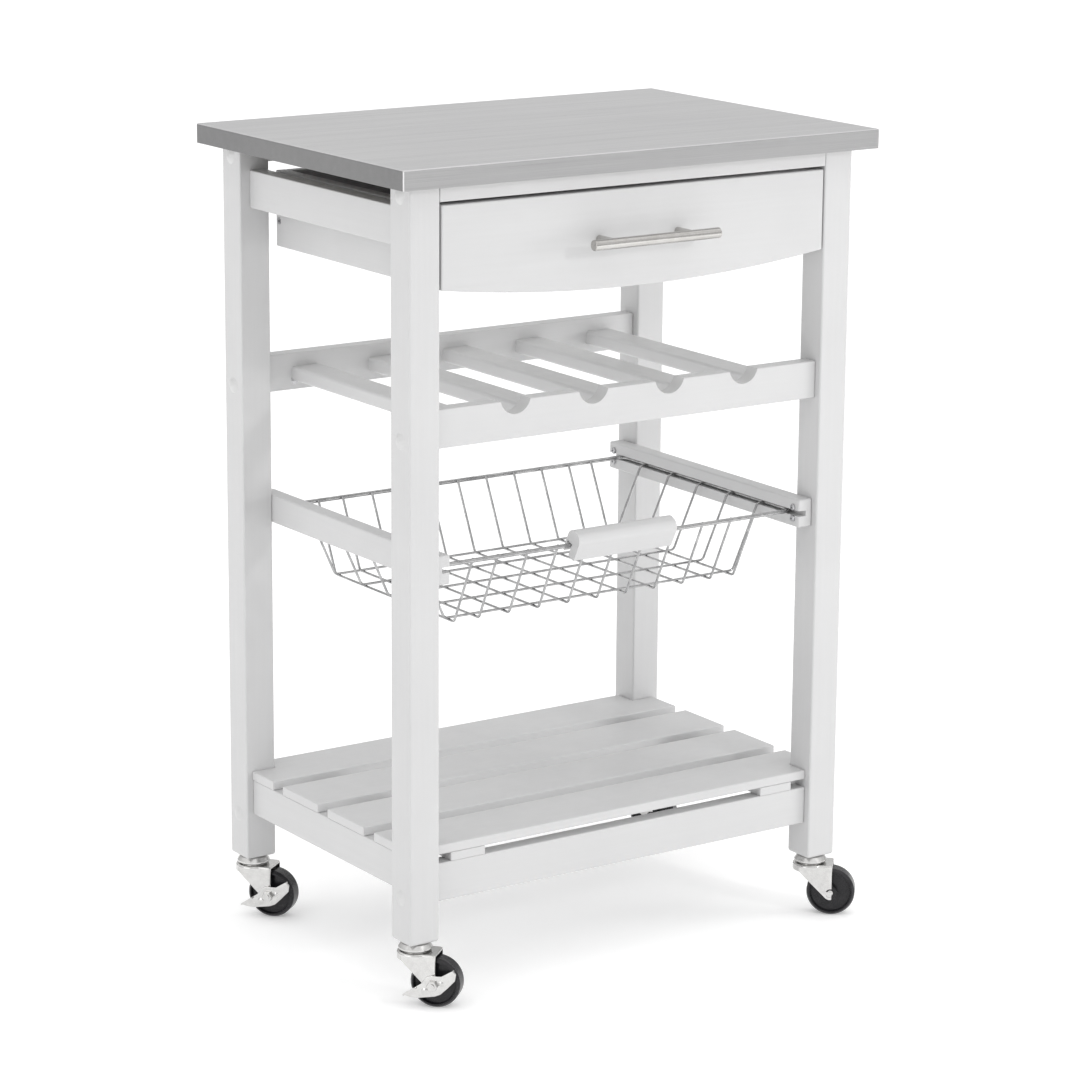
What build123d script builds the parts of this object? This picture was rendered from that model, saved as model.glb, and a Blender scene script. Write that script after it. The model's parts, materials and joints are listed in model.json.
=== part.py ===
from build123d import *
import os
from math import atan2, cos, degrees, hypot, sin

# Rolling kitchen cart: painted wooden frame, stainless worktop, drawer, wine rack, pull-out wire
# basket, slatted shelf and four swivel casters, two of them with a brake lever.
# Millimetres. +Z up, front towards -Y, origin on the floor under the middle of the frame.

# ---------------------------------------------------------------- driving dimensions
HEIGHT = 852.2              # floor to worktop
TOP_LENGTH = 578.1
TOP_DEPTH = 400.0
TOP_THICK = 20.0
LEG_SPAN_X = 540.0          # over the legs, side to side
LEG_SPAN_Y = 360.0          # over the legs, front to back
LEG = 35.0                  # leg section
CASTER_HEIGHT = 67.0        # floor to the bottom of a leg

# ---------------------------------------------------------------- frame
LEG_TOP = HEIGHT - TOP_THICK
OUT_X = LEG_SPAN_X / 2      # outer faces of the legs
OUT_Y = LEG_SPAN_Y / 2
IN_X = OUT_X - LEG          # inner faces of the legs
IN_Y = OUT_Y - LEG
LEG_X = OUT_X - LEG / 2     # leg centres
LEG_Y = OUT_Y - LEG / 2
BOARD = 18.0                # thickness of rails and of the drawer front
SOFTEN = 1.2                # rounding of painted edges
LEG_SOFTEN = 2.0
LEG_FOOT_ROUND = 3.0
RAIL_RECESS = 8.0           # cross rails sit this far behind the legs' outer faces
RAIL_OUT_Y = OUT_Y - RAIL_RECESS
RAIL_IN_Y = RAIL_OUT_Y - BOARD
BOLT_Y = RAIL_OUT_Y - BOARD / 2

TOP_RAIL_HEIGHT = 17.0
TOP_RAIL_LOW = LEG_TOP - TOP_RAIL_HEIGHT
TOP_BOLT_Z = 821.5
APRON_LOW = 769.0
APRON_HIGH = 808.0
APRON_OUT_X = 258.0

RACK_LOW = 571.5
RACK_HIGH = 610.5
RACK_BOLT_Z = 581.5         # below the notches
RACK_PITCH = 94.0           # bottle to bottle
NOTCH_RADIUS = 18.2
NOTCH_DEPTH = 14.2
BAR_WIDTH = 33.0
BAR_THICK = 15.0

SHELF_RAIL_LOW = 106.0
SHELF_RAIL_HIGH = 146.0
SHELF_BOLT_Z = 114.0
BATTEN_THICK = 9.0
BATTEN_WIDTH = 41.0
BATTEN_X = 195.5
SLAT_THICK = 10.0
SLAT_LENGTH = 525.8
SLAT_WIDTH = 71.0
SLAT_GAP = 20.0
SLAT_LOW = SHELF_RAIL_HIGH + BATTEN_THICK
SIDE_RAIL_LOW = 117.0
SIDE_RAIL_OUT_X = 262.0
NOTCH_CLEARANCE = 0.5       # slat corner to leg

# ---------------------------------------------------------------- fasteners
BOLT = 6.0
BOLT_HOLE = 6.6
BOLT_HEAD = 10.0
BOLT_HEAD_THICK = 5.0
BOLT_KEY = 5.0
BOLT_SEAT = 8.0             # depth of the head's seat under the leg's outer face
BOLT_SEAT_WIDTH = 12.0
BOLT_IN_RAIL = 42.0
BARREL_IN_RAIL = 34.0
BARREL = 10.0
BARREL_LENGTH = 13.0
CAP_WIDTH = 16.5
CAP_DOME = 2.6
DOWEL = 8.0
DOWEL_IN_LEG = 12.0
DOWEL_IN_RAIL = 18.0
BAR_DOWEL_IN = 12.0
SCREW = 4.0
SCREW_HEAD = 7.6
RUNNING = 0.06              # radial clearance of turning fits

# ---------------------------------------------------------------- drawer
FRONT_HALF = 233.0          # half the drawer front's width
FRONT_HIGH = 812.0
FRONT_LOW_MIDDLE = 713.0
FRONT_LOW_END = 729.0
SIDE_THICK = 12.0
SIDE_OUT_X = 227.0
SIDE_LOW = 727.0
SIDE_HIGH = 806.0
DRAWER_BACK_Y = 145.0
PANEL_THICK = 4.0
PANEL_LOW = 737.0
PANEL_GROOVE = 5.0
RUNNER_THICK = 12.0
RUNNER_Z = 788.5
RUNNER_SLACK = 0.4
RUNNER_GROOVE = 7.0
RUNNER_FRONT_Y = -136.0
RUNNER_BACK_Y = 142.0
HANDLE_LENGTH = 153.0
HANDLE_WIDTH = 11.0
HANDLE_PITCH = 96.0
HANDLE_REACH = 31.0         # drawer front to the bar's axis
HANDLE_Z = 764.0
POST_WIDTH = 8.0

# ---------------------------------------------------------------- basket
GUIDE_THICK = 17.5
GUIDE_LOW = 433.5
GUIDE_HIGH = 463.5
GUIDE_HALF = 172.0
GUIDE_GROOVE = 6.0
GUIDE_GROOVE_DEEP = 9.5
GUIDE_Z = (GUIDE_LOW + GUIDE_HIGH) / 2
RIM_WIRE = 4.5
WIRE = 2.6
RIM_HALF_X = 223.5
RIM_HALF_Y = 152.75
RIM_CORNER = 12.0
RIM_Z = GUIDE_Z - 0.3
WIRE_BEND = 6.0
WELD = 0.1                  # depth that crossing wires melt into each other
BASKET_LOW = 375.0          # underside of the long wires
FLOOR_HALF_X = 182.0
FLOOR_HALF_Y = 115.0
LONG_PITCH = 36.5
LONG_LAST = 176.0
CROSS_PITCH = 53.0
GRIP_LENGTH = 122.0
GRIP_UP = 18.0
GRIP_DOWN = 11.0
GRIP_FRONT = 13.0
GRIP_BACK = 8.0
GRIP_ROUND = 9.0
GRIP_SLACK = 0.4            # wire to the grip's slot

# ---------------------------------------------------------------- casters
WHEEL = 52.0
WHEEL_WIDTH = 21.0
TRAIL = 23.0                # stem axis to axle
HEADINGS = {"front_left": -49.0, "back_left": -52.0, "front_right": -42.0, "back_right": -50.0}
AXLE = 6.0
STEM = 8.0
STEM_IN_LEG = 36.0
CUP = 35.0
RACE_GAP = 1.4              # fork's plate to the cup's rim
PLATE_Z = 57.0              # top of the fork's plate
FORK_SHEET = 2.0
FORK_GAP = 26.0             # between the fork's legs
FORK_ROUND = 38.0
FORK_SKIRT = 7.5
FORK_NOSE = 25.0
FORK_TAIL = -11.5           # where the legs start behind the stem
FORK_BOSS = 7.5
LANCE = 4.8
AXLE_SEAT = 0.8
DISH = 0.82                 # dished part of the wheel's radius
DISH_DEEP = 4.0
LEVER_SHEET = 1.8
LEVER_SLACK = 0.4
TOE_DEEP = 5.0
CATCH_DEEP = 5.0
LEVER_DIMPLES = ((-7.8, -6.3, 3.9, 1.2), (9.0, 2.8, 2.8, 0.8))   # x, z, half width and height
NUT = 10.0
NUT_THICK = 3.6

SIDES = (("left", -1), ("right", 1))
ENDS = (("front", -1), ("back", 1))


# ---------------------------------------------------------------- helpers
def block(x, y, z, soften=SOFTEN):
    """A box between two values on each axis, with rounded edges."""
    low = [min(pair) for pair in (x, y, z)]
    high = [max(pair) for pair in (x, y, z)]
    size = [high[i] - low[i] for i in range(3)]
    middle = [(high[i] + low[i]) / 2 for i in range(3)]
    body = Pos(*middle) * Box(*size)
    if soften:
        body = fillet(body.edges(), soften)
    return body


def rod(start, end, width):
    """A round bar between two points."""
    start = Vector(*start)
    end = Vector(*end)
    plane = Plane(origin=start, z_dir=(end - start).normalized())
    return Solid.make_cylinder(width / 2, (end - start).length, plane)


def solids_of(*shapes):
    """All the solids of the shapes, in one list."""
    found = []
    for shape in shapes:
        found += list(shape.solids())
    return found


def save(name, *shapes):
    """Write one sub-part, of one or more separate solids."""
    solids = solids_of(*shapes)
    piece = solids[0] if len(solids) == 1 else Compound(solids)
    piece.label = name
    export_step(piece, f"parts/{name}.step")


def mirrored(x, sign):
    """A pair of x values on one side of the cart."""
    return (sign * x[0], sign * x[1])


# ---------------------------------------------------------------- fastener places
def bolt_places():
    """Side, end and height of each frame bolt."""
    for sign_x in (-1, 1):
        for sign_y in (-1, 1):
            for height in (TOP_BOLT_Z, RACK_BOLT_Z, SHELF_BOLT_Z):
                yield sign_x, sign_y, height


def side_rail_dowels():
    """Centre line x and height of the two dowels in each side rail's end."""
    apron_x = APRON_OUT_X - BOARD / 2
    rail_x = SIDE_RAIL_OUT_X - BOARD / 2
    apron_z = (APRON_LOW + APRON_HIGH) / 2
    rail_z = (SIDE_RAIL_LOW + SLAT_LOW) / 2
    for offset in (-9.5, 9.5):
        yield apron_x, apron_z + offset
        yield rail_x, rail_z + offset


def bar_xs():
    """Centre of each rack bar."""
    return [index * RACK_PITCH for index in (-2, -1, 0, 1, 2)]


def guide_screw_places():
    """Side, y and height of each basket guide screw."""
    for sign_x in (-1, 1):
        for sign_y in (-1, 1):
            for edge in (GUIDE_LOW, GUIDE_HIGH):
                yield sign_x, sign_y * LEG_Y, (edge + GUIDE_Z + (3 if edge < GUIDE_Z else -3)) / 2


def slat_ys():
    """Low and high y of each slat, from front to back."""
    first = -(4 * SLAT_WIDTH + 3 * SLAT_GAP) / 2
    step = SLAT_WIDTH + SLAT_GAP
    return [(first + index * step, first + index * step + SLAT_WIDTH) for index in range(4)]


def wood_screw_rods():
    """Start (head), end of each countersunk wood screw."""
    for sign in (-1, 1):
        for low, high in slat_ys():
            middle = (low + high) / 2
            for shift in (-18, 18):
                start = (sign * BATTEN_X, middle + shift, SHELF_RAIL_HIGH)
                yield start, (start[0], start[1], SHELF_RAIL_HIGH + 16)
        for x in (-150, 150):
            start = (x, sign * LEG_Y, TOP_RAIL_LOW)
            yield start, (x, sign * LEG_Y, TOP_RAIL_LOW + 30)
        for y in (-90, 90):
            start = (sign * (SIDE_OUT_X - RUNNER_GROOVE + RUNNER_SLACK + 1), y, RUNNER_Z)
            yield start, (start[0] + sign * 30, y, RUNNER_Z)


def countersunk(start, end):
    """A countersunk screw with a cross-shaped drive."""
    start = Vector(*start)
    axis = (Vector(*end) - start).normalized()
    length = (Vector(*end) - start).length
    head_deep = (SCREW_HEAD - SCREW) / 2
    profile = Polyline((0, 0), (SCREW_HEAD / 2, 0), (SCREW / 2, head_deep), (SCREW / 2, length - 4),
                       (0, length), close=True)
    body = revolve(make_face(Plane.XZ * profile), Axis.Z)
    for turn in (0, 90):
        body -= Rot(0, 0, turn) * Pos(0, 0, 0.6) * Box(4.2, 0.9, 1.4)
    return Plane(origin=start, z_dir=axis).location * body


def countersink_tool(start, end):
    """The hole of a countersunk screw."""
    start = Vector(*start)
    axis = (Vector(*end) - start).normalized()
    length = (Vector(*end) - start).length
    head_deep = (SCREW_HEAD - SCREW) / 2
    profile = Polyline((0, 0), (SCREW_HEAD / 2, 0), (SCREW / 2, head_deep), (SCREW / 2, length - 4),
                       (0, length), close=True)
    return Plane(origin=start, z_dir=axis).location * revolve(make_face(Plane.XZ * profile), Axis.Z)


# ---------------------------------------------------------------- frame pieces
def leg(sign_x, sign_y):
    """One square leg, bored for bolts, dowels, guide screws and the caster stem."""
    body = block(mirrored((IN_X, OUT_X), sign_x), mirrored((IN_Y, OUT_Y), sign_y),
                 (CASTER_HEIGHT, LEG_TOP), 0)
    body = fillet(body.edges().filter_by(Axis.Z), LEG_SOFTEN)
    body = fillet(body.edges().group_by(Axis.Z)[0], LEG_FOOT_ROUND)
    tools = []
    for side, end, height in bolt_places():
        if (side, end) == (sign_x, sign_y):
            y = sign_y * BOLT_Y
            tools.append(rod((sign_x * (IN_X - 1), y, height), (sign_x * (OUT_X + 1), y, height), BOLT_HOLE))
            tools.append(rod((sign_x * (OUT_X - BOLT_SEAT), y, height), (sign_x * (OUT_X + 1), y, height),
                             BOLT_SEAT_WIDTH))
    for x, z in side_rail_dowels():
        tools.append(rod((sign_x * x, sign_y * (IN_Y - 1), z),
                         (sign_x * x, sign_y * (IN_Y + DOWEL_IN_LEG), z), DOWEL))
    for side, y, z in guide_screw_places():
        if side == sign_x and y * sign_y > 0:
            tools.append(rod((sign_x * (IN_X - 1), y, z), (sign_x * (IN_X + 14), y, z), SCREW))
    bottom = (sign_x * LEG_X, sign_y * LEG_Y, CASTER_HEIGHT - 1)
    tools.append(rod(bottom, (bottom[0], bottom[1], CASTER_HEIGHT + STEM_IN_LEG + 1), STEM))
    return body - tools


def cross_rail(body, sign_y, height):
    """Bore a cross rail's two ends for its bolts and barrel nuts."""
    tools = []
    y = sign_y * BOLT_Y
    for sign_x in (-1, 1):
        tools.append(rod((sign_x * (IN_X + 1), y, height), (sign_x * (IN_X - BOLT_IN_RAIL - 2), y, height),
                         BOLT_HOLE))
        tools.append(barrel_body(sign_x, sign_y, height, 1.0))
    return body - tools


def barrel_body(sign_x, sign_y, height, proud=0.0):
    """The outside of a barrel nut, or the hole for it when it stands proud."""
    x = sign_x * (IN_X - BARREL_IN_RAIL)
    y = sign_y * BOLT_Y
    if height == TOP_BOLT_Z:
        return rod((x, y, TOP_RAIL_LOW - proud), (x, y, TOP_RAIL_LOW + BARREL_LENGTH), BARREL)
    inner = sign_y * (RAIL_IN_Y - proud)
    return rod((x, inner, height), (x, sign_y * (RAIL_IN_Y + BARREL_LENGTH), height), BARREL)


def barrel_nut(sign_x, sign_y, height):
    """A cross dowel nut, bored for the bolt and slotted for a screwdriver."""
    x = sign_x * (IN_X - BARREL_IN_RAIL)
    y = sign_y * BOLT_Y
    body = barrel_body(sign_x, sign_y, height)
    bore = rod((x - BARREL, y, height), (x + BARREL, y, height), BOLT + 2 * RUNNING)
    if height == TOP_BOLT_Z:
        slot = Pos(x, y, TOP_RAIL_LOW) * Box(BARREL, 1.2, 2.4)
    else:
        slot = Pos(x, sign_y * RAIL_IN_Y, height) * Box(BARREL, 2.4, 1.2)
    return body - [bore, slot]


def frame_bolt(sign_x, sign_y, height):
    """A socket head bolt through a leg into a cross rail."""
    y = sign_y * BOLT_Y
    seat = OUT_X - BOLT_SEAT
    head_end = seat + BOLT_HEAD_THICK
    shank = rod((sign_x * (IN_X - BOLT_IN_RAIL), y, height), (sign_x * seat, y, height), BOLT)
    head = rod((sign_x * seat, y, height), (sign_x * head_end, y, height), BOLT_HEAD)
    key_plane = Plane(origin=(sign_x * head_end, y, height), z_dir=(-sign_x, 0, 0))
    key = extrude(key_plane * RegularPolygon(BOLT_KEY / 2, 6, major_radius=False), 3)
    return shank + head - key


def bolt_cap(sign_x, sign_y, height):
    """A domed plastic cap over a bolt's seat."""
    half = CAP_WIDTH / 2
    stub = BOLT_SEAT_WIDTH / 2 - 0.1
    dome = (half ** 2 + CAP_DOME ** 2) / (2 * CAP_DOME)
    ball = Pos(0, 0, CAP_DOME - dome) * Sphere(dome)
    lens = ball & (Pos(0, 0, CAP_DOME / 2) * Cylinder(half, CAP_DOME))
    body = lens + Pos(0, 0, -1) * Cylinder(stub, 2)
    place = Plane(origin=(sign_x * OUT_X, sign_y * BOLT_Y, height), z_dir=(sign_x, 0, 0))
    return place.location * body


def worktop():
    """The folded stainless sheet and the board inside it."""
    sheet = 1.0
    lip = 15.0
    half_x = TOP_LENGTH / 2
    half_y = TOP_DEPTH / 2
    outer = Pos(0, 0, HEIGHT - TOP_THICK / 2) * Box(TOP_LENGTH, TOP_DEPTH, TOP_THICK)
    outer = fillet(outer.edges().filter_by(Axis.Z), 2.0)
    outer = fillet(outer.faces().sort_by(Axis.Z)[-1].edges(), 1.5)
    hollow = block((-half_x + sheet, half_x - sheet), (-half_y + sheet, half_y - sheet),
                   (LEG_TOP + sheet, HEIGHT - sheet), 0)
    hollow = fillet(hollow.edges().filter_by(Axis.Z), 1.0)
    window = block((-half_x + lip, half_x - lip), (-half_y + lip, half_y - lip),
                   (LEG_TOP - 1, LEG_TOP + sheet + 1), 0)
    core = hollow + (window & outer)
    for start, end in wood_screw_rods():
        if start[2] == TOP_RAIL_LOW:
            core -= countersink_tool(start, end)
    return outer - hollow - window, core


def top_rail(sign_y):
    """A flat cross rail under the worktop."""
    body = block((-IN_X, IN_X), mirrored((IN_Y, OUT_Y), sign_y), (TOP_RAIL_LOW, LEG_TOP))
    body = cross_rail(body, sign_y, TOP_BOLT_Z)
    for start, end in wood_screw_rods():
        if start[2] == TOP_RAIL_LOW and start[1] * sign_y > 0:
            body -= countersink_tool(start, end)
    return body


def side_rail(sign_x, outer_x, low, high):
    """A side rail between a front leg and a back leg, bored for its dowels."""
    body = block(mirrored((outer_x - BOARD, outer_x), sign_x), (-IN_Y, IN_Y), (low, high))
    tools = []
    for x, z in side_rail_dowels():
        for sign_y in (-1, 1):
            tools.append(rod((sign_x * x, sign_y * (IN_Y + 1), z),
                             (sign_x * x, sign_y * (IN_Y - DOWEL_IN_RAIL), z), DOWEL))
    for start, end in wood_screw_rods():
        if start[2] == RUNNER_Z:
            tools.append(countersink_tool(start, end))
    return body - tools


def drawer_runner(sign_x):
    """A wooden runner on the apron that carries the drawer's grooved side."""
    inner = SIDE_OUT_X - RUNNER_GROOVE + RUNNER_SLACK + 1
    body = block(mirrored((inner, APRON_OUT_X - BOARD), sign_x), (RUNNER_FRONT_Y, RUNNER_BACK_Y),
                 (RUNNER_Z - RUNNER_THICK / 2, RUNNER_Z + RUNNER_THICK / 2), 0.8)
    for start, end in wood_screw_rods():
        if start[2] == RUNNER_Z:
            body -= countersink_tool(start, end)
    return body


def dowels():
    """All the wooden dowels of the side rails and the rack bars."""
    pins = []
    for sign_x in (-1, 1):
        for sign_y in (-1, 1):
            for x, z in side_rail_dowels():
                pins.append(rod((sign_x * x, sign_y * (IN_Y - DOWEL_IN_RAIL), z),
                                (sign_x * x, sign_y * (IN_Y + DOWEL_IN_LEG), z), DOWEL))
    for sign_y in (-1, 1):
        for x in bar_xs():
            pins.append(bar_dowel(x, sign_y))
    return pins


# ---------------------------------------------------------------- wine rack
def bar_z():
    """Height of the middle of the rack bars, whose tops are level with the notches' bottoms."""
    return RACK_HIGH - NOTCH_DEPTH - BAR_THICK / 2


def bar_dowel(x, sign_y):
    """A dowel between a rack bar and a rack rail."""
    return rod((x, sign_y * (RAIL_IN_Y - BAR_DOWEL_IN), bar_z()),
               (x, sign_y * (RAIL_IN_Y + BAR_DOWEL_IN), bar_z()), DOWEL)


def rack_rail(sign_y):
    """A rack cross rail; the front one has a round notch for each bottle's neck."""
    body = block((-IN_X, IN_X), mirrored((RAIL_IN_Y, RAIL_OUT_Y), sign_y), (RACK_LOW, RACK_HIGH))
    tools = [bar_dowel(x, sign_y) for x in bar_xs()]
    if sign_y < 0:
        centre = RACK_HIGH + NOTCH_RADIUS - NOTCH_DEPTH
        for place in (-1.5, -0.5, 0.5, 1.5):
            x = place * RACK_PITCH
            tools.append(rod((x, -RAIL_OUT_Y - 1, centre), (x, -RAIL_IN_Y + 1, centre), 2 * NOTCH_RADIUS))
    return cross_rail(body - tools, sign_y, RACK_BOLT_Z)


def rack_bar(x):
    """A bar from front to back, with well rounded long edges."""
    body = Pos(x, 0, bar_z()) * Box(BAR_WIDTH, 2 * RAIL_IN_Y, BAR_THICK)
    body = fillet(body.edges().filter_by(Axis.Y), 3.0)
    return body - [bar_dowel(x, -1), bar_dowel(x, 1)]


# ---------------------------------------------------------------- bottom shelf
def shelf_rail(sign_y):
    """A cross rail under the bottom shelf."""
    body = block((-IN_X, IN_X), mirrored((RAIL_IN_Y, RAIL_OUT_Y), sign_y), (SHELF_RAIL_LOW, SHELF_RAIL_HIGH))
    return cross_rail(body, sign_y, SHELF_BOLT_Z)


def shelf_screw_tools(low_y, high_y):
    """Holes of the shelf screws between two y values."""
    tools = []
    for start, end in wood_screw_rods():
        if start[2] == SHELF_RAIL_HIGH and low_y < start[1] < high_y:
            tools.append(countersink_tool(start, end))
    return tools


def batten(sign_x):
    """A flat batten that ties the slats together and lies on the cross rails."""
    x = mirrored((BATTEN_X - BATTEN_WIDTH / 2, BATTEN_X + BATTEN_WIDTH / 2), sign_x)
    body = block(x, (-RAIL_OUT_Y, RAIL_OUT_Y), (SHELF_RAIL_HIGH, SLAT_LOW), 0.8)
    return body - shelf_screw_tools(-RAIL_OUT_Y, RAIL_OUT_Y)


def slat(low_y, high_y):
    """A shelf slat; the outer two are notched round the legs."""
    half = SLAT_LENGTH / 2
    middle = Pos(0, (low_y + high_y) / 2, SLAT_LOW + SLAT_THICK / 2)
    body = middle * Box(SLAT_LENGTH, high_y - low_y, SLAT_THICK)
    notch_x = IN_X - NOTCH_CLEARANCE
    notch_y = IN_Y - NOTCH_CLEARANCE
    for sign_x in (-1, 1):
        for sign_y in (-1, 1):
            if sign_y * (low_y + high_y) / 2 > IN_Y - SLAT_WIDTH:
                body -= block(mirrored((notch_x, half + 1), sign_x), mirrored((notch_y, OUT_Y), sign_y),
                              (SLAT_LOW - 1, SLAT_LOW + SLAT_THICK + 1), 0)
    body = fillet(body.edges().filter_by(Axis.Z, reverse=True), 1.4)
    return body - shelf_screw_tools(low_y, high_y)


# ---------------------------------------------------------------- drawer
def drawer_front():
    """The front board, with a bowed lower edge and holes for the handle's screws."""
    low_left = (-FRONT_HALF, FRONT_LOW_END)
    low_right = (FRONT_HALF, FRONT_LOW_END)
    outline = [
        ThreePointArc(low_left, (0, FRONT_LOW_MIDDLE), low_right),
        Line(low_right, (FRONT_HALF, FRONT_HIGH)),
        Line((FRONT_HALF, FRONT_HIGH), (-FRONT_HALF, FRONT_HIGH)),
        Line((-FRONT_HALF, FRONT_HIGH), low_left),
    ]
    face = Plane(origin=(0, -OUT_Y, 0), x_dir=(1, 0, 0), z_dir=(0, -1, 0)) * make_face(outline)
    body = extrude(face, -BOARD)
    body = fillet(body.edges(), 1.5)
    tools = [panel_space()]
    for sign in (-1, 1):
        x = sign * HANDLE_PITCH / 2
        tools.append(rod((x, -OUT_Y - 1, HANDLE_Z), (x, -OUT_Y + BOARD + 1, HANDLE_Z), SCREW + 0.4))
    for start, end in drawer_screw_rods():
        if start[1] < 0:
            tools.append(rod(start, end, SCREW))
    return body - tools


def panel_space():
    """The groove that holds the drawer's bottom panel in the front and the sides."""
    reach = SIDE_OUT_X - SIDE_THICK + PANEL_GROOVE
    return block((-reach, reach), (-OUT_Y + BOARD - PANEL_GROOVE, DRAWER_BACK_Y + 1),
                 (PANEL_LOW, PANEL_LOW + PANEL_THICK), 0)


def drawer_screw_rods():
    """Start (head), end of each screw of the drawer box."""
    for sign in (-1, 1):
        for z in (SIDE_LOW + 27, SIDE_LOW + 50):
            y = DRAWER_BACK_Y - SIDE_THICK / 2
            yield (sign * SIDE_OUT_X, y, z), (sign * (SIDE_OUT_X - 30), y, z)
        for z in (SIDE_LOW + 20, SIDE_HIGH - 30):
            x = sign * (SIDE_OUT_X - SIDE_THICK / 2)
            yield (x, -OUT_Y + BOARD + 16, z), (x, -OUT_Y + BOARD - 12, z)


def drawer_side(sign_x):
    """A drawer side with the runner's groove outside and the panel's groove inside."""
    body = block(mirrored((SIDE_OUT_X - SIDE_THICK, SIDE_OUT_X), sign_x), (-OUT_Y + BOARD, DRAWER_BACK_Y),
                 (SIDE_LOW, SIDE_HIGH))
    groove_half = RUNNER_THICK / 2 + RUNNER_SLACK
    groove = block(mirrored((SIDE_OUT_X - RUNNER_GROOVE, SIDE_OUT_X + 1), sign_x),
                   (-OUT_Y + BOARD + 14, DRAWER_BACK_Y + 1),
                   (RUNNER_Z - groove_half, RUNNER_Z + groove_half), 0)
    tools = [groove, panel_space()]
    for start, end in drawer_screw_rods():
        if start[0] * sign_x > 0 and start[1] > 0:
            tools.append(countersink_tool(start, end))
        if start[0] * sign_x > 0 and start[1] < 0:
            tools.append(rod(start, end, SCREW))
    return body - tools


def drawer_back():
    """The drawer's back board, standing on the bottom panel."""
    half = SIDE_OUT_X - SIDE_THICK
    body = block((-half, half), (DRAWER_BACK_Y - SIDE_THICK, DRAWER_BACK_Y),
                 (PANEL_LOW + PANEL_THICK, SIDE_HIGH))
    tools = [countersink_tool(start, end) for start, end in drawer_screw_rods() if start[1] > 0]
    return body - tools


def drawer_bottom():
    """The thin bottom panel."""
    reach = SIDE_OUT_X - SIDE_THICK + PANEL_GROOVE
    return block((-reach, reach), (-OUT_Y + BOARD - PANEL_GROOVE, DRAWER_BACK_Y),
                 (PANEL_LOW, PANEL_LOW + PANEL_THICK), 0)


def drawer_screws():
    """Screws of the drawer box and of the handle."""
    screws = []
    for start, end in drawer_screw_rods():
        if start[1] > 0:
            screws.append(countersunk(start, end))
        else:
            screws.append(rod(start, end, SCREW))
    for sign in (-1, 1):
        x = sign * HANDLE_PITCH / 2
        inner = -OUT_Y + BOARD
        head = rod((x, inner, HANDLE_Z), (x, inner + 2.4, HANDLE_Z), 8)
        shank = rod((x, -OUT_Y - 9, HANDLE_Z), (x, inner, HANDLE_Z), SCREW)
        slot = Pos(x, inner + 2.4, HANDLE_Z) * Box(8, 2.0, 1.0)
        screws.append(head + shank - slot)
    return screws


def handle_bar():
    """The round bar of the drawer's handle, with softened ends."""
    y = -OUT_Y - HANDLE_REACH
    bar = rod((-HANDLE_LENGTH / 2, y, HANDLE_Z), (HANDLE_LENGTH / 2, y, HANDLE_Z), HANDLE_WIDTH)
    bar = fillet(bar.edges().filter_by(GeomType.CIRCLE), 0.8)
    for sign in (-1, 1):
        x = sign * HANDLE_PITCH / 2
        bar -= rod((x, y + 2, HANDLE_Z), (x, y + HANDLE_WIDTH, HANDLE_Z), POST_WIDTH)
    return bar


def handle_post(sign):
    """A round post between the drawer front and the bar."""
    x = sign * HANDLE_PITCH / 2
    post = rod((x, -OUT_Y, HANDLE_Z), (x, -OUT_Y - HANDLE_REACH + 2, HANDLE_Z), POST_WIDTH)
    return post - rod((x, -OUT_Y + 1, HANDLE_Z), (x, -OUT_Y - 9.5, HANDLE_Z), SCREW)


# ---------------------------------------------------------------- basket
def basket_guide(sign_x):
    """A grooved wooden runner for the basket's rim, screwed to two legs."""
    inner = IN_X - GUIDE_THICK
    body = block(mirrored((inner, IN_X), sign_x), (-GUIDE_HALF, GUIDE_HALF), (GUIDE_LOW, GUIDE_HIGH), 2.0)
    groove = block(mirrored((inner - 1, inner + GUIDE_GROOVE_DEEP), sign_x),
                   (-GUIDE_HALF - 1, GUIDE_HALF + 1),
                   (GUIDE_Z - GUIDE_GROOVE / 2, GUIDE_Z + GUIDE_GROOVE / 2), 0)
    tools = [groove]
    for side, y, z in guide_screw_places():
        if side == sign_x:
            tools.append(rod((sign_x * (inner - 1), y, z), (sign_x * (IN_X + 1), y, z), SCREW))
    return body - tools


def guide_screw(sign_x, y, z):
    """A round head screw through a guide into a leg."""
    inner = IN_X - GUIDE_THICK
    shank = rod((sign_x * inner, y, z), (sign_x * (IN_X + 14), y, z), SCREW)
    head = rod((sign_x * (inner - 2.6), y, z), (sign_x * inner, y, z), 7.0)
    head = fillet(head.edges().filter_by(GeomType.CIRCLE).sort_by(Axis.X)[-1 if sign_x < 0 else 0], 1.6)
    face = sign_x * (inner - 2.6)
    for turn in (0, 90):
        head -= Pos(face, y, z) * Rot(turn, 0, 0) * Box(2.4, 3.6, 0.9)
    return shank + head


def swept(path, width):
    """A round wire along a path."""
    return sweep(Plane(origin=path @ 0, z_dir=path % 0) * Circle(width / 2), path=path)


def basket_rim():
    """The closed loop of thick wire that slides in the guides' grooves."""
    loop = RectangleRounded(2 * RIM_HALF_X, 2 * RIM_HALF_Y, RIM_CORNER).wire()
    path = Pos(0, 0, RIM_Z) * loop
    return swept(path, RIM_WIRE)


def long_wire(x):
    """A wire from the front rim, under the floor, to the back rim."""
    top = RIM_HALF_Y - (RIM_WIRE + WIRE) / 2 + WELD
    low = BASKET_LOW + WIRE / 2
    points = [(x, -top, RIM_Z + 1), (x, -FLOOR_HALF_Y, low), (x, FLOOR_HALF_Y, low), (x, top, RIM_Z + 1)]
    return swept(FilletPolyline(*points, radius=WIRE_BEND), WIRE)


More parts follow.
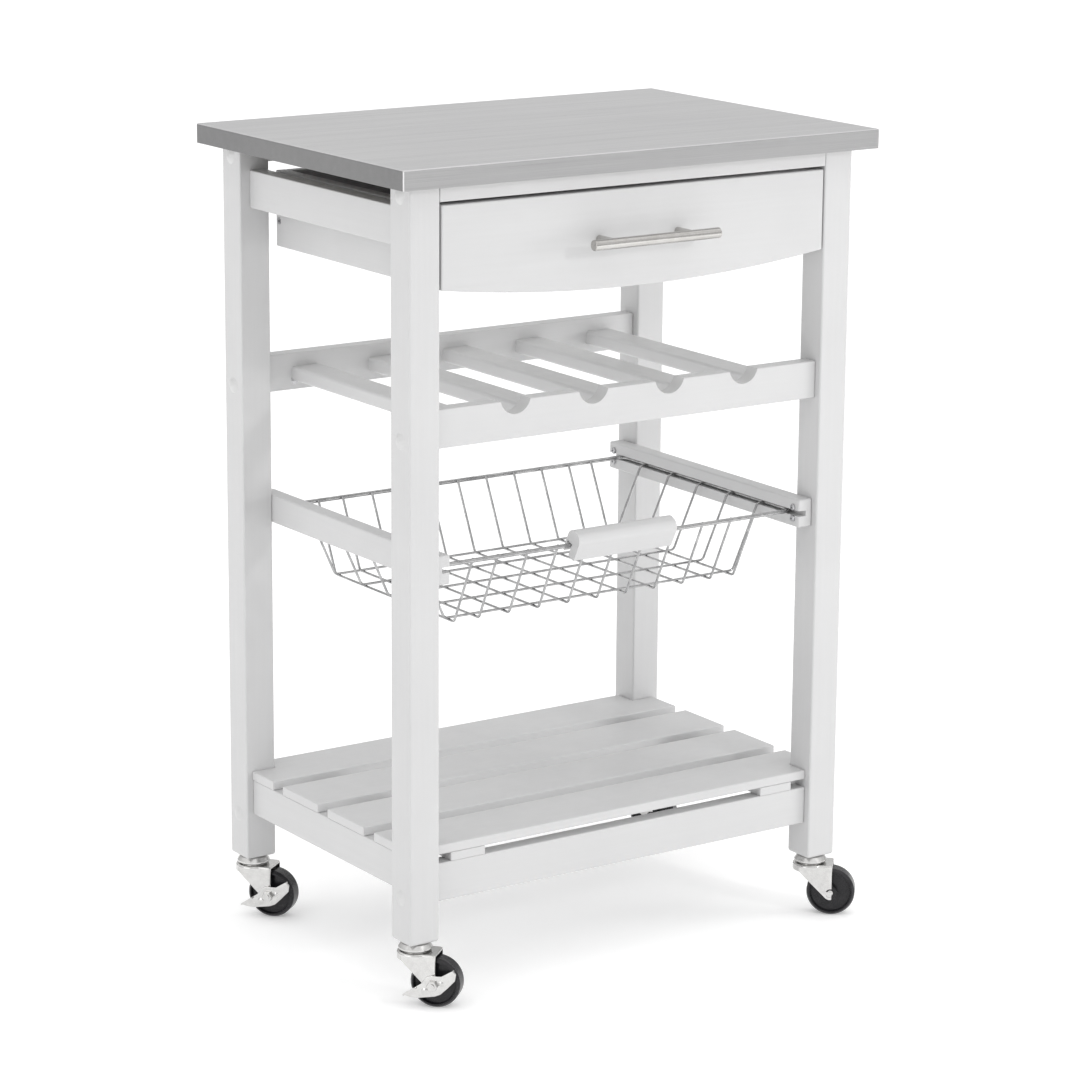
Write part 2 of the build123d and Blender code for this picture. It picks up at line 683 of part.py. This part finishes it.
def cross_wire(y):
    """A wire from rim to rim over the long wires, its ends turned out into the guides' grooves."""
    tip = RIM_HALF_X - RIM_WIRE / 2 + WELD
    top = IN_X - GUIDE_THICK - 4.0
    low = BASKET_LOW + 1.5 * WIRE - WELD
    points = [(-tip, y, RIM_Z), (-top, y, RIM_Z), (-FLOOR_HALF_X, y, low), (FLOOR_HALF_X, y, low),
              (top, y, RIM_Z), (tip, y, RIM_Z)]
    return swept(FilletPolyline(*points, radius=WIRE_BEND), WIRE)


def long_wire_xs():
    """Places of the long wires, from side to side."""
    inner = [LONG_PITCH * index for index in range(-4, 5)]
    return [-LONG_LAST] + inner + [LONG_LAST]


def cross_wire_ys():
    """Places of the cross wires, from front to back."""
    return [CROSS_PITCH * index for index in range(-2, 3)]


def basket_grip():
    """A wooden grip pressed over the front rim from above, leaning with the front wires."""
    lean = degrees(atan2(RIM_HALF_Y - FLOOR_HALF_Y, RIM_Z - BASKET_LOW))
    middle = Pos((GRIP_BACK - GRIP_FRONT) / 2, (GRIP_UP - GRIP_DOWN) / 2)
    outline = middle * Rectangle(GRIP_FRONT + GRIP_BACK, GRIP_UP + GRIP_DOWN)
    outline = fillet(outline.vertices().group_by(Axis.Y)[-1], GRIP_ROUND)
    outline = fillet(outline.vertices().group_by(Axis.Y)[0], 1.5)
    slot_high = RIM_WIRE / 2 + GRIP_SLACK
    slot_front = -slot_high
    slot_back = RIM_WIRE / 2 + WIRE + 2 * GRIP_SLACK
    slot_low = -GRIP_DOWN - 1
    slot = Pos((slot_front + slot_back) / 2, (slot_high + slot_low) / 2) * Rectangle(
        slot_back - slot_front, slot_high - slot_low)
    body = extrude(Plane.YZ * (outline - slot), GRIP_LENGTH)
    return Pos(-GRIP_LENGTH / 2, -RIM_HALF_Y, RIM_Z) * Rot(lean, 0, 0) * body


# ---------------------------------------------------------------- casters
def caster_place(sign_x, sign_y, heading):
    """From a caster's own frame (trail along +X, floor at z = 0) to its corner."""
    return Pos(sign_x * LEG_X, sign_y * LEG_Y, 0) * Rot(0, 0, heading)


def caster_stem():
    """Stem, upper bearing cup and king pin in one riveted piece."""
    race = PLATE_Z + RACE_GAP
    cup = Polyline((0, CASTER_HEIGHT), (12.0, CASTER_HEIGHT), (15.0, CASTER_HEIGHT - 2.0),
                   (CUP / 2, CASTER_HEIGHT - 6.0), (CUP / 2, race + 1.0), (CUP / 2 - 1.2, race),
                   (CUP / 2 - 3.0, race), (CUP / 2 - 3.6, race + 2.2), (0, race + 2.2), close=True)
    body = revolve(make_face(Plane.XZ * cup), Axis.Z)
    body += rod((0, 0, CASTER_HEIGHT - 1), (0, 0, CASTER_HEIGHT + STEM_IN_LEG), STEM)
    body += rod((0, 0, PLATE_Z - FORK_SHEET - 2.0), (0, 0, race + 3), STEM)
    head = rod((0, 0, PLATE_Z - FORK_SHEET - 2.4), (0, 0, PLATE_Z - FORK_SHEET - 0.3), 13)
    return body + head


def fork_side_outline():
    """The flat outline of the fork seen from the side: long at the plate, round at the axle."""
    tail = (FORK_TAIL, PLATE_Z - FORK_SKIRT)
    nose = (FORK_NOSE, PLATE_Z - FORK_SHEET)
    hub = Pos(TRAIL, WHEEL / 2) * Circle(FORK_BOSS)
    web = make_face(Polyline((FORK_TAIL, PLATE_Z), (FORK_NOSE, PLATE_Z), nose,
                             tangent_point(nose, FORK_BOSS, 1), tangent_point(tail, FORK_BOSS, -1), tail,
                             close=True))
    return hub + web


def tangent_point(point, radius, side):
    """Where a line from a point touches the circle round the axle."""
    dx = point[0] - TRAIL
    dz = point[1] - WHEEL / 2
    reach = hypot(dx, dz)
    swing = atan2((reach ** 2 - radius ** 2) ** 0.5, radius)
    angle = atan2(dz, dx) - side * swing
    return (TRAIL + radius * cos(angle), WHEEL / 2 + radius * sin(angle))


def fork_head():
    """The round end of the fork, rolled over at its rim, with a short skirt at the tail."""
    radius = FORK_ROUND / 2
    inner = radius - FORK_SHEET
    low = PLATE_Z - FORK_SKIRT
    under = PLATE_Z - FORK_SHEET
    profile = Polyline((0, PLATE_Z), (radius, PLATE_Z), (radius, low), (inner, low), (inner, under),
                       (0, under), close=True)
    head = revolve(make_face(Plane.XZ * profile), Axis.Z)
    head = fillet(head.edges().group_by(Axis.Z)[-1], 2.2)
    open_front = block((FORK_TAIL + 0.5, radius + 1), (-radius - 1, radius + 1), (low - 1, under - 1), 0)
    race = Pos(0, 0, PLATE_Z + 0.9) * (Cylinder(13.4, 1.8) - Cylinder(10.0, 1.8))
    return head - open_front + race


def fork_channel():
    """The bent part of the fork: a flat nose and two legs down to the axle."""
    outer_y = FORK_GAP / 2 + FORK_SHEET
    channel = block((FORK_TAIL, FORK_NOSE), (-outer_y, outer_y), (0, PLATE_Z), 0)
    channel = fillet(channel.edges().filter_by(Axis.Z).group_by(Axis.X)[-1], 2.5)
    channel = fillet(channel.edges().filter_by(Axis.X).group_by(Axis.Z)[-1], 1.6)
    channel -= block((FORK_TAIL - 1, FORK_NOSE + 1), (-FORK_GAP / 2, FORK_GAP / 2),
                     (-1, PLATE_Z - FORK_SHEET), 0)
    side = extrude(Plane(origin=(0, outer_y, 0), x_dir=(1, 0, 0), z_dir=(0, -1, 0)) * fork_side_outline(),
                   2 * outer_y)
    return channel & side


def axle_lance(sign):
    """The half-round slot and the shallow seat lanced into a leg of an unbraked fork."""
    outer = FORK_GAP / 2 + FORK_SHEET
    plane = Plane(origin=(TRAIL, sign * outer, WHEEL / 2), x_dir=(1, 0, 0), z_dir=(0, -1, 0))
    half_disc = Circle(LANCE) - Pos(0, 1.4 - LANCE) * Rectangle(3 * LANCE, 2 * LANCE)
    slot = extrude(plane * half_disc, sign * (FORK_SHEET + 1))
    seat = extrude(plane * Circle(LANCE), sign * 0.5)
    return [slot, seat]


def caster_fork(braked):
    """The pressed swivel fork."""
    body = fork_head() + fork_channel()
    z = WHEEL / 2
    tools = [Pos(0, 0, PLATE_Z) * Cylinder(STEM / 2 + RUNNING, 12)]
    if braked:
        tools.append(rod((TRAIL, -FORK_GAP, z), (TRAIL, FORK_GAP, z), AXLE))
    else:
        seat = FORK_GAP / 2 + AXLE_SEAT
        tools.append(rod((TRAIL, -seat, z), (TRAIL, seat, z), AXLE))
        tools += axle_lance(-1) + axle_lance(1)
    return body - tools


def caster_wheel():
    """A moulded wheel with a rounded tread, dished faces and a hub."""
    half = WHEEL_WIDTH / 2
    radius = WHEEL / 2
    hub = 7.5
    hub_half = FORK_GAP / 2 - 0.5
    bore = AXLE / 2 + RUNNING
    dish = radius * DISH
    web = half - DISH_DEEP
    shoulder = half - 3.4
    outline = Polyline((bore, -hub_half), (hub, -hub_half), (hub, -web), (dish, -web), (dish + 0.8, -half),
                       (radius - 2.4, -half), (radius, -shoulder), (radius, shoulder), (radius - 2.4, half),
                       (dish + 0.8, half), (dish, web), (hub, web), (hub, hub_half), (bore, hub_half),
                       close=True)
    wheel = revolve(make_face(Plane.XY * outline), Axis.Y)
    tread = wheel.edges().filter_by(lambda edge: edge.bounding_box().size.X > 2 * (radius - 3))
    wheel = fillet(tread, 1.6)
    rims = wheel.edges().filter_by(lambda edge: 2 * dish - 0.1 < edge.bounding_box().size.X < 2 * dish + 2)
    return Pos(TRAIL, 0, radius) * fillet(rims, 0.6)


def caster_axle(braked):
    """A plain pin between the lanced legs, or on a braked caster a bolt whose nut holds the lever."""
    z = WHEEL / 2
    if not braked:
        seat = FORK_GAP / 2 + AXLE_SEAT
        return rod((TRAIL, -seat, z), (TRAIL, seat, z), AXLE)
    inner = FORK_GAP / 2 + FORK_SHEET
    nut_y = -inner - LEVER_SHEET - 2 * LEVER_SLACK
    body = rod((TRAIL, nut_y - NUT_THICK - 1.2, z), (TRAIL, inner + 1, z), AXLE)
    head = rod((TRAIL, inner, z), (TRAIL, inner + 2.2, z), 11)
    body += fillet(head.edges().filter_by(GeomType.CIRCLE).sort_by(Axis.Y)[-1], 1.6)
    nut_plane = Plane(origin=(TRAIL, nut_y, z), x_dir=(1, 0, 0), z_dir=(0, -1, 0))
    nut = extrude(nut_plane * RegularPolygon(NUT / 2, 6, major_radius=False), NUT_THICK)
    nut = chamfer(nut.edges().group_by(Axis.Y)[0], 0.5)
    return body + nut


def lever_outline():
    """The pressed lever's leaf shape, from its toe end to its raised end, about the axle."""
    return Polyline((-32.0, -12.3), (-22.0, -5.5), (-12.5, 0.8), (-6.6, 8.6), (-1.0, 10.4), (4.6, 10.2),
                    (9.5, 10.6), (20.5, 17.6), (24.0, 14.6), (23.2, 7.0), (15.2, -1.8), (8.0, -8.8),
                    (2.0, -11.4), (-16.3, -14.6), (-24.2, -14.4), close=True)


def lever_flange(start, end, face_y, depth):
    """A strip folded off one edge of the lever, from start to end about the axle."""
    length = hypot(end[0] - start[0], end[1] - start[1])
    slope = degrees(atan2(end[1] - start[1], end[0] - start[0]))
    strip = fillet(Box(length, abs(depth), LEVER_SHEET).edges().filter_by(Axis.Z), 1.2)
    middle = Pos(TRAIL + (start[0] + end[0]) / 2, face_y + depth / 2, WHEEL / 2 + (start[1] + end[1]) / 2)
    return middle * Rot(0, -slope, 0) * Pos(0, 0, -LEVER_SHEET / 2) * strip


def brake_lever():
    """A pressed lever that rocks on the axle bolt, with its two ends folded over."""
    inner = -(FORK_GAP / 2 + FORK_SHEET + LEVER_SLACK)
    outer = inner - LEVER_SHEET
    z = WHEEL / 2
    sheet = make_face(lever_outline())
    sheet = fillet(sheet.vertices(), 1.3)
    plane = Plane(origin=(TRAIL, inner, z), x_dir=(1, 0, 0), z_dir=(0, -1, 0))
    body = extrude(plane * sheet, LEVER_SHEET)
    body = fillet(body.edges().group_by(Axis.Y)[0], 0.5)
    toe = lever_flange((-31.2, -11.6), (-17.6, -2.4), inner, -TOE_DEEP)
    catch = lever_flange((9.0, 10.4), (20.6, 17.6), outer, CATCH_DEEP)
    body += [toe, catch]
    skin = block((TRAIL - 20, TRAIL + 20), (outer - 3, outer + 0.5), (z - 20, z + 20), 0)
    for x, dz, half_width, height in LEVER_DIMPLES:
        ball = (half_width ** 2 + height ** 2) / (2 * height)
        body += Pos(TRAIL + x, outer + ball - height, z + dz) * Sphere(ball) & skin
    return body - rod((TRAIL, outer - 4, z), (TRAIL, inner + 4, z), AXLE + 2 * RUNNING)


# ---------------------------------------------------------------- write every sub-part
def write_frame():
    """Legs, rails, worktop and their fasteners."""
    for side, sign_x in SIDES:
        for end, sign_y in ENDS:
            save(f"leg_{end}_{side}", leg(sign_x, sign_y))
        save(f"apron_{side}", side_rail(sign_x, APRON_OUT_X, APRON_LOW, APRON_HIGH))
        save(f"basket_guide_{side}", basket_guide(sign_x))
        save(f"shelf_rail_{side}", side_rail(sign_x, SIDE_RAIL_OUT_X, SIDE_RAIL_LOW, SLAT_LOW))
    sheet, core = worktop()
    save("worktop_sheet", sheet)
    save("worktop_core", core)
    for end, sign_y in ENDS:
        save(f"top_rail_{end}", top_rail(sign_y))
        save(f"rack_rail_{end}", rack_rail(sign_y))
        save(f"shelf_rail_{end}", shelf_rail(sign_y))
    for number, x in enumerate(bar_xs(), 1):
        save(f"rack_bar_{number}", rack_bar(x))
    save("shelf_battens", batten(-1), batten(1))
    for number, ys in enumerate(slat_ys(), 1):
        save(f"shelf_slat_{number}", slat(*ys))
    save("drawer_runners", drawer_runner(-1), drawer_runner(1))
    bolts = [frame_bolt(*place) for place in bolt_places()]
    nuts = [barrel_nut(*place) for place in bolt_places()]
    save("frame_bolts", *bolts, *nuts)
    save("bolt_caps", *[bolt_cap(*place) for place in bolt_places()])
    save("frame_dowels", *dowels())
    flush_screws = [countersunk(start, end) for start, end in wood_screw_rods()]
    guide_screws = [guide_screw(*place) for place in guide_screw_places()]
    save("frame_screws", *flush_screws, *guide_screws)


def write_drawer():
    """The drawer box, its front and its handle."""
    save("drawer_front", drawer_front())
    for side, sign_x in SIDES:
        save(f"drawer_side_{side}", drawer_side(sign_x))
    save("drawer_back", drawer_back())
    save("drawer_bottom", drawer_bottom())
    save("drawer_screws", *drawer_screws())
    save("drawer_handle_bar", handle_bar())
    save("drawer_handle_posts", handle_post(-1), handle_post(1))


def write_basket():
    """The wire basket and its grip."""
    save("basket_rim", basket_rim())
    save("basket_long_wires", *[long_wire(x) for x in long_wire_xs()])
    save("basket_cross_wires", *[cross_wire(y) for y in cross_wire_ys()])
    save("basket_grip", basket_grip())


def write_casters():
    """Four swivel casters; the two on the left have brake levers."""
    stems = []
    for side, sign_x in SIDES:
        for end, sign_y in ENDS:
            place = caster_place(sign_x, sign_y, HEADINGS[f"{end}_{side}"])
            braked = side == "left"
            stems.append(place * caster_stem())
            save(f"caster_fork_{end}_{side}", place * caster_fork(braked))
            save(f"caster_wheel_{end}_{side}", place * caster_wheel())
            save(f"caster_axle_{end}_{side}", place * caster_axle(braked))
            if braked:
                save(f"caster_brake_{end}_{side}", place * brake_lever())
    save("caster_stems", *stems)


os.makedirs("parts", exist_ok=True)
write_frame()
write_drawer()
write_basket()
write_casters()
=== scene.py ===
import bpy
import json
import math
from mathutils import Euler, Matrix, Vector


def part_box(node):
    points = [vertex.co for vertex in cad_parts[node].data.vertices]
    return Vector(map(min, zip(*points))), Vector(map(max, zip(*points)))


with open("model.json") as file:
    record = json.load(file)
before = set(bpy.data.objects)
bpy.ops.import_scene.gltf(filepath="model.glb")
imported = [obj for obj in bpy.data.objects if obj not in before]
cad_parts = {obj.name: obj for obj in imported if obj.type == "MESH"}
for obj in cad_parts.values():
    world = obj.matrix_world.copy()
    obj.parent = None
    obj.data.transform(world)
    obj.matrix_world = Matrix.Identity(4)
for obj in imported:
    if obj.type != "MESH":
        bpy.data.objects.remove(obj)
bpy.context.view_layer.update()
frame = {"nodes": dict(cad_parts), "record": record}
scene = bpy.context.scene
scene.view_settings.view_transform = "Standard"


# ---------------------------------------------------------------- material helpers
NOISE_LOW = 0.3             # the span that most of a noise's values lie in
NOISE_HIGH = 0.7
COAT_ROUGHNESS = 0.2
MIX_FACTOR, MIX_FIRST, MIX_SECOND = 0, 6, 7     # sockets of a colour Mix node
MIX_RESULT = 2
WHITE = (1, 1, 1)


class Look:
    """A node material that is read from the object's own coordinates, in metres."""

    def __init__(self, name, color, roughness, metallic=0.0, coat=0.0, specular=0.5):
        self.material = bpy.data.materials.new(name)
        self.material.use_nodes = True
        self.tree = self.material.node_tree
        self.shader = self.tree.nodes["Principled BSDF"]
        self.shader.inputs["Base Color"].default_value = (*color, 1)
        self.shader.inputs["Roughness"].default_value = roughness
        self.shader.inputs["Metallic"].default_value = metallic
        self.shader.inputs["Specular IOR Level"].default_value = specular
        self.shader.inputs["Coat Weight"].default_value = coat
        self.shader.inputs["Coat Roughness"].default_value = COAT_ROUGHNESS
        self.place = self.tree.nodes.new("ShaderNodeTexCoord").outputs["Object"]
        self.height = None

    def node(self, kind, **inputs):
        """A new node whose inputs are linked or set by name, with _ for a space."""
        made = self.tree.nodes.new(kind)
        for name, value in inputs.items():
            socket = made.inputs[name.replace("_", " ")]
            if isinstance(value, bpy.types.NodeSocket):
                self.tree.links.new(value, socket)
            else:
                socket.default_value = value
        return made

    def scaled(self, scale):
        """The object's coordinates, multiplied by scale along each axis."""
        made = self.node("ShaderNodeMapping", Vector=self.place)
        made.inputs["Scale"].default_value = scale
        return made.outputs["Vector"]

    def noise(self, scale, detail=4.0, rough=0.55, distortion=0.0):
        """Noise of about scale cells per metre along each axis."""
        made = self.node("ShaderNodeTexNoise", Vector=self.scaled(scale), Scale=1.0, Detail=detail,
                         Roughness=rough, Distortion=distortion)
        return made.outputs["Fac"]

    def ramp(self, value, low_color, high_color, low=NOISE_LOW, high=NOISE_HIGH):
        """Colour between two tones, as value runs from low to high."""
        made = self.node("ShaderNodeValToRGB", Fac=value)
        made.color_ramp.elements[0].position = low
        made.color_ramp.elements[1].position = high
        made.color_ramp.elements[0].color = (*low_color, 1)
        made.color_ramp.elements[1].color = (*high_color, 1)
        return made.outputs["Color"]

    def spread(self, value, to_low, to_high, low=NOISE_LOW, high=NOISE_HIGH):
        """Number between two others, as value runs from low to high."""
        made = self.node("ShaderNodeMapRange", Value=value)
        made.inputs["From Min"].default_value = low
        made.inputs["From Max"].default_value = high
        made.inputs["To Min"].default_value = to_low
        made.inputs["To Max"].default_value = to_high
        return made.outputs["Result"]

    def multiply(self, first, second):
        """Product of two colours."""
        made = self.tree.nodes.new("ShaderNodeMix")
        made.data_type = "RGBA"
        made.blend_type = "MULTIPLY"
        made.inputs[MIX_FACTOR].default_value = 1.0
        self.tree.links.new(first, made.inputs[MIX_FIRST])
        self.tree.links.new(second, made.inputs[MIX_SECOND])
        return made.outputs[MIX_RESULT]

    def absolute(self, value):
        made = self.tree.nodes.new("ShaderNodeMath")
        made.operation = "ABSOLUTE"
        self.tree.links.new(value, made.inputs[0])
        return made.outputs[0]

    def paint(self, socket):
        self.tree.links.new(socket, self.shader.inputs["Base Color"])

    def gloss(self, socket):
        self.tree.links.new(socket, self.shader.inputs["Roughness"])

    def bump(self, height, distance):
        """Relief of about distance metres, on top of any relief before it."""
        made = self.node("ShaderNodeBump", Height=height, Distance=distance, Strength=1.0)
        if self.height is not None:
            self.tree.links.new(self.height, made.inputs["Normal"])
        self.height = made.outputs["Normal"]
        self.tree.links.new(self.height, self.shader.inputs["Normal"])


def along(axis, fine, coarse):
    """Noise scale that is coarse along one axis and fine across it."""
    scale = [fine, fine, fine]
    scale[axis] = coarse
    return scale


# ---------------------------------------------------------------- materials
SIDE_EDGE_PAINTED_SHADE = 0.36       # painted shade: how dark the folded side and front edges of the worktop are, against its top
FRONT_EDGE_PAINTED_SHADE = 0.60


def lacquered_wood(axis):
    """Satin white lacquer over solid wood, with the grain just showing along one axis."""
    look = Look(f"white_lacquer_{'xyz'[axis]}", (0.58, 0.58, 0.58), 0.34, coat=0.12)
    grain = look.noise(along(axis, 260, 7), 5, 0.6, 0.2)
    cloud = look.noise((9, 9, 9), 3, 0.5)
    tone = look.ramp(cloud, (0.570, 0.570, 0.573), (0.592, 0.592, 0.594))
    fibre = look.ramp(grain, (0.978, 0.977, 0.976), WHITE, 0.35, 0.75)
    look.paint(look.multiply(tone, fibre))
    look.gloss(look.spread(look.noise((45, 45, 45), 4), 0.30, 0.44))
    look.bump(grain, 0.00006)
    look.bump(look.noise((500, 500, 500), 2), 0.00003)
    return look.material


def stainless_sheet():
    """Fine brushing along the worktop, with painted shade darkening the folded side and front edges.
    """
    look = Look("stainless_sheet", (0.5, 0.5, 0.505), 0.33, metallic=1.0)
    streak = look.noise((5, 1700, 1700), 4, 0.7)
    broad = look.noise((1.6, 120, 120), 3, 0.5)
    cloud = look.noise((5, 5, 5), 3, 0.5)
    tone = look.ramp(streak, (0.59, 0.59, 0.595), (0.76, 0.755, 0.755))
    tone = look.multiply(tone, look.ramp(broad, (0.93, 0.93, 0.93), WHITE))
    tone = look.multiply(tone, look.ramp(cloud, (0.95, 0.95, 0.955), WHITE))
    geometry = look.node("ShaderNodeNewGeometry")
    normal = look.node("ShaderNodeSeparateXYZ", Vector=geometry.outputs["True Normal"])
    # Painted shade: faces turned to the sides or the front get a darker base colour in place of their
    # darker reflections.
    for name, shade in (("X", SIDE_EDGE_PAINTED_SHADE), ("Y", FRONT_EDGE_PAINTED_SHADE)):
        facing = look.absolute(normal.outputs[name])
        edge_shade = look.ramp(facing, WHITE, (shade, shade, shade), 0.86, 0.98)
        tone = look.multiply(tone, edge_shade)
    look.paint(tone)
    look.gloss(look.spread(streak, 0.24, 0.42, 0.25, 0.75))
    look.bump(streak, 0.00003)
    return look.material


def satin_nickel(axis):
    """Turned and brushed nickel, streaked along the bar."""
    look = Look(f"satin_nickel_{'xyz'[axis]}", (0.5, 0.48, 0.45), 0.3, metallic=1.0)
    streak = look.noise(along(axis, 1500, 9), 5, 0.7)
    cloud = look.noise((60, 60, 60), 3)
    tone = look.ramp(streak, (0.42, 0.41, 0.395), (0.68, 0.67, 0.655))
    tone = look.multiply(tone, look.ramp(cloud, (0.88, 0.87, 0.86), WHITE))
    look.paint(tone)
    look.gloss(look.spread(streak, 0.13, 0.24))
    look.bump(streak, 0.00001)
    return look.material


def chromed_wire():
    """Bright wire with the faint drawing marks and dull spots of cheap plating."""
    look = Look("chromed_wire", (0.6, 0.6, 0.6), 0.2, metallic=1.0)
    patch = look.noise((110, 110, 110), 4)
    fine = look.noise((1400, 1400, 1400), 2)
    look.paint(look.ramp(patch, (0.33, 0.33, 0.335), (0.54, 0.54, 0.54)))
    look.gloss(look.spread(patch, 0.24, 0.12))
    look.bump(fine, 0.00002)
    return look.material


def zinc_plate():
    """Pressed steel with bright zinc plating: light rolling marks and cloudy patches."""
    look = Look("zinc_plate", (0.6, 0.6, 0.61), 0.24, metallic=1.0)
    patch = look.noise((160, 160, 160), 5, 0.6)
    grain = look.noise((900, 900, 2400), 3)
    tone = look.ramp(patch, (0.60, 0.595, 0.585), (0.72, 0.715, 0.705))
    look.paint(look.multiply(tone, look.ramp(grain, (0.93, 0.93, 0.93), WHITE)))
    look.gloss(look.spread(patch, 0.14, 0.26))
    look.bump(grain, 0.00001)
    look.bump(patch, 0.00002)
    return look.material


def moulded_black():
    """Black nylon with faint flow marks and a fine scuff on the gloss."""
    look = Look("moulded_black", (0.02, 0.02, 0.022), 0.26, coat=0.06, specular=0.3)
    flow = look.noise((90, 90, 90), 4, 0.6, 0.8)
    scuff = look.noise((1300, 1300, 1300), 3)
    look.paint(look.ramp(flow, (0.010, 0.010, 0.012), (0.022, 0.021, 0.023)))
    look.gloss(look.spread(scuff, 0.18, 0.34))
    look.bump(flow, 0.00008)
    return look.material


def white_plastic(name, color):
    """Injection-moulded white plastic with a soft sheen."""
    look = Look(name, color, 0.32, coat=0.15)
    flow = look.noise((24, 24, 24), 3)
    darker = [channel * 0.97 for channel in color]
    look.paint(look.ramp(flow, darker, color))
    look.gloss(look.spread(flow, 0.28, 0.36))
    look.bump(look.noise((1200, 1200, 1200), 2), 0.00003)
    return look.material


def raw_wood(name, axis, dark, light):
    """Unpainted wood or board with grain along one axis."""
    look = Look(name, light, 0.6)
    grain = look.noise(along(axis, 420, 14), 6, 0.65, 0.5)
    fleck = look.noise((900, 900, 900), 2)
    tone = look.ramp(grain, dark, light)
    look.paint(look.multiply(tone, look.ramp(fleck, (0.85, 0.83, 0.8), WHITE)))
    look.gloss(look.spread(fleck, 0.5, 0.72))
    look.bump(grain, 0.0002)
    return look.material


def plated_screw():
    """Zinc-plated fasteners."""
    look = Look("plated_screw", (0.52, 0.52, 0.53), 0.28, metallic=1.0)
    patch = look.noise((700, 700, 700), 4)
    look.paint(look.ramp(patch, (0.36, 0.36, 0.37), (0.60, 0.60, 0.61)))
    look.gloss(look.spread(patch, 0.2, 0.42))
    look.bump(patch, 0.00003)
    return look.material


LACQUER = [lacquered_wood(axis) for axis in range(3)]
SLOT_LOOKS = {
    "worktop_steel": stainless_sheet(),
    "core_board": raw_wood("particle_board", 0, (0.21, 0.20, 0.185), (0.31, 0.295, 0.275)),
    "dowel_wood": raw_wood("beech_dowel", 1, (0.42, 0.28, 0.15), (0.62, 0.46, 0.29)),
    "drawer_panel": white_plastic("white_foil", (0.74, 0.74, 0.73)),
    "handle_nickel": satin_nickel(0),
    "fastener_steel": plated_screw(),
    "cap_plastic": white_plastic("cap_plastic", (0.60, 0.60, 0.60)),
    "wire_chrome": chromed_wire(),
    "caster_zinc": zinc_plate(),
    "wheel_black": moulded_black(),
}


def longest_axis(name):
    low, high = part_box(name)
    size = high - low
    return max(range(3), key=lambda axis: size[axis])


# The pieces in these nodes run from front to back, though each node is wider than it is deep.
GRAIN_AXIS = {"shelf_battens": 1, "drawer_runners": 1}
for entry in frame["record"]["subparts"]:
    piece = frame["nodes"][entry["node"]]
    slot = entry["material_slot"]
    if slot == "white_paint":
        axis = GRAIN_AXIS.get(entry["node"], longest_axis(entry["node"]))
        look = LACQUER[axis]
    else:
        look = SLOT_LOOKS[slot]
    for material_slot in piece.material_slots:
        material_slot.material = look


# ---------------------------------------------------------------- stage
HORIZON_STRENGTH = 0.52     # the world's light at the horizon and overhead
ZENITH_STRENGTH = 1.28
FLOOR_GLOW = 0.22           # lifts the floor to white
FLOOR_RADIUS = 30
FLOOR_SIDES = 96
LENS = 124.6
SENSOR = 36
FAR_CLIP = 200
CAMERA_PLACE = (-2.1568, -3.1680, 1.3585)
CAMERA_TURN = (76.153, -0.42, -34.226)          # degrees


def soft_light(name, place, target, size, power):
    data = bpy.data.lights.new(name, "AREA")
    data.shape = "RECTANGLE"
    data.size, data.size_y = size
    data.energy = power
    light = bpy.data.objects.new(name, data)
    light.location = place
    light.rotation_euler = (Vector(target) - Vector(place)).to_track_quat("-Z", "Y").to_euler()
    scene.collection.objects.link(light)
    return light


def pale_floor():
    turns = [math.tau * i / FLOOR_SIDES for i in range(FLOOR_SIDES)]
    ring = [(FLOOR_RADIUS * math.cos(turn), FLOOR_RADIUS * math.sin(turn), 0) for turn in turns]
    mesh = bpy.data.meshes.new("floor")
    mesh.from_pydata(ring, [], [list(range(FLOOR_SIDES))])
    look = Look("pale_floor", (0.92, 0.92, 0.92), 0.8, specular=0.1)
    look.paint(look.ramp(look.noise((3, 3, 3), 2), (0.91, 0.91, 0.91), (0.93, 0.93, 0.93)))
    look.shader.inputs["Emission Color"].default_value = (1, 1, 1, 1)
    look.shader.inputs["Emission Strength"].default_value = FLOOR_GLOW
    mesh.materials.append(look.material)
    floor = bpy.data.objects.new("floor", mesh)
    scene.collection.objects.link(floor)


def studio_world():
    world = bpy.data.worlds.new("studio")
    scene.world = world
    world.use_nodes = True
    tree = world.node_tree
    background = tree.nodes["Background"]
    place = tree.nodes.new("ShaderNodeTexCoord").outputs["Generated"]
    split = tree.nodes.new("ShaderNodeSeparateXYZ")
    tree.links.new(place, split.inputs["Vector"])
    ramp = tree.nodes.new("ShaderNodeMapRange")
    ramp.inputs["From Min"].default_value = 0.0
    ramp.inputs["From Max"].default_value = 1.0
    ramp.inputs["To Min"].default_value = HORIZON_STRENGTH
    ramp.inputs["To Max"].default_value = ZENITH_STRENGTH
    tree.links.new(split.outputs["Z"], ramp.inputs["Value"])
    tree.links.new(ramp.outputs["Result"], background.inputs["Strength"])
    background.inputs["Color"].default_value = (1, 1, 1, 1)


def photo_camera():
    data = bpy.data.cameras.new("camera")
    camera = bpy.data.objects.new("camera", data)
    scene.collection.objects.link(camera)
    data.sensor_width = SENSOR
    data.lens = LENS
    data.clip_end = FAR_CLIP
    camera.location = CAMERA_PLACE
    camera.rotation_euler = Euler([math.radians(angle) for angle in CAMERA_TURN], "XYZ")
    scene.camera = camera


pale_floor()
studio_world()
soft_light("key", place=(1.3, -4.0, 2.2), target=(0, -0.18, 0.6), size=(0.3, 0.3), power=23)
# The fill from the right lights the white wood but isn't mirrored by the worktop.
fill = soft_light("right", place=(3.9, -2.43, 0.95), target=(0, -0.18, 0.6), size=(1.6, 1.2), power=60)
fill.visible_glossy = False
soft_light("left", place=(-3.6, -0.6, 1.0), target=(0, 0, 0.45), size=(2.5, 2.0), power=20)
photo_camera()
